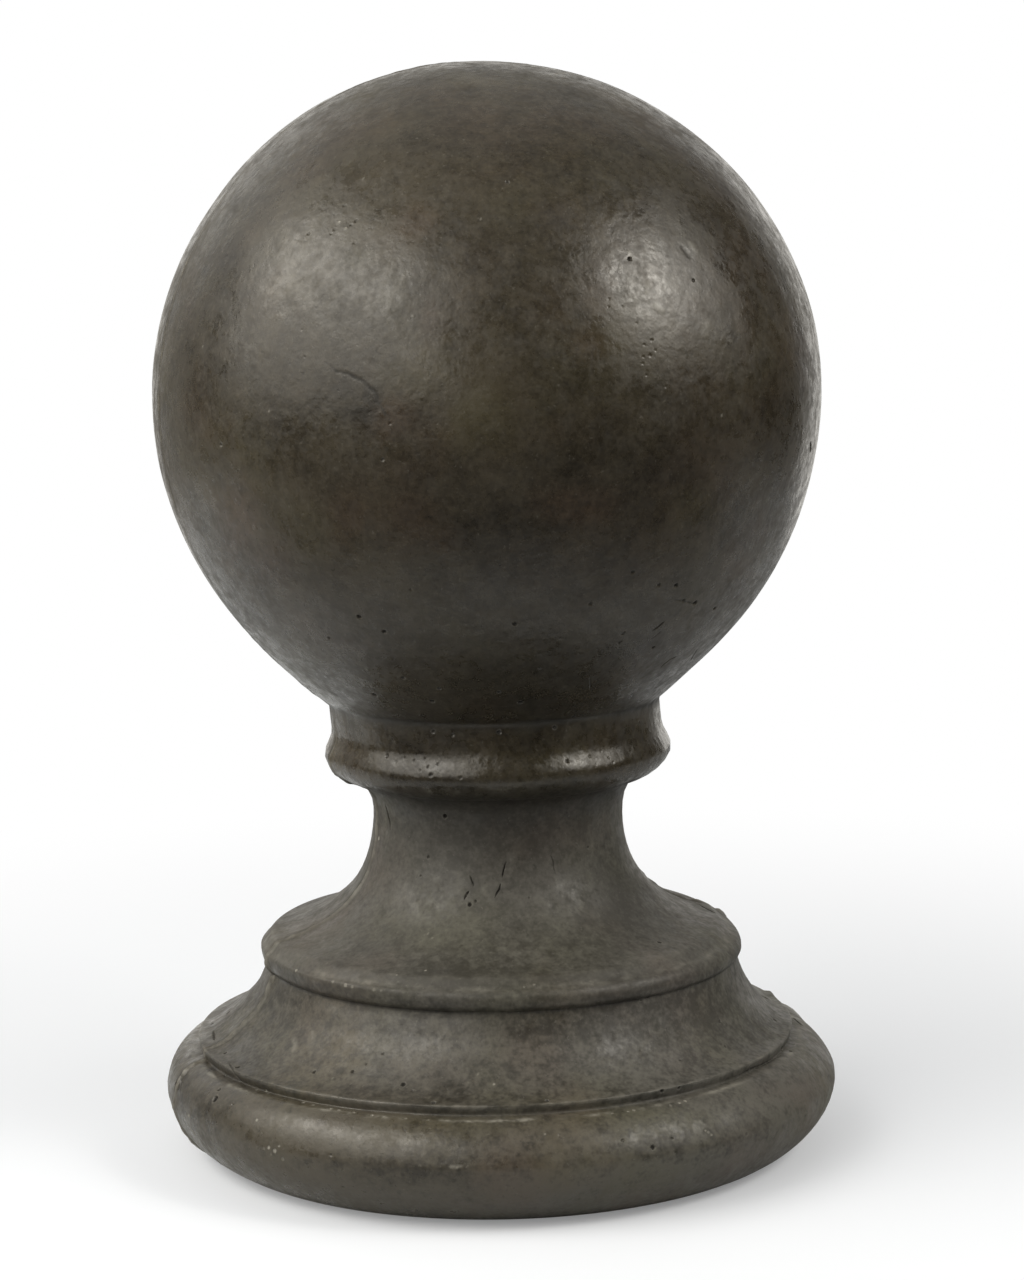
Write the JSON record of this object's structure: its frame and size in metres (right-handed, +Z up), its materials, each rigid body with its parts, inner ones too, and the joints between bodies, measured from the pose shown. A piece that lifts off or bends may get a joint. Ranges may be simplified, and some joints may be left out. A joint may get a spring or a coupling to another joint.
{
  "type": "round finial",
  "caption": "Cast concrete ball finial: a ball on a collar and flared neck, over a hollow moulding and a half-round base.",
  "frame": {"origin": "centre of the flat underside, on the axis of the turned form", "axes": "+Z up along the axis of the turned form, from the underside to the crown of the ball; -Y faces the viewer of the picture, +X to the viewer's right"},
  "size_m": [0.315, 0.315, 0.4994],
  "materials": {
    "concrete": "dark grey-brown cast concrete with a waxed, softly shining and mottled surface, small air-bubble pits and pale worn edges"
  },
  "bodies": {
    "root": {"ball_finial": "concrete"}
  },
  "joints": []
}
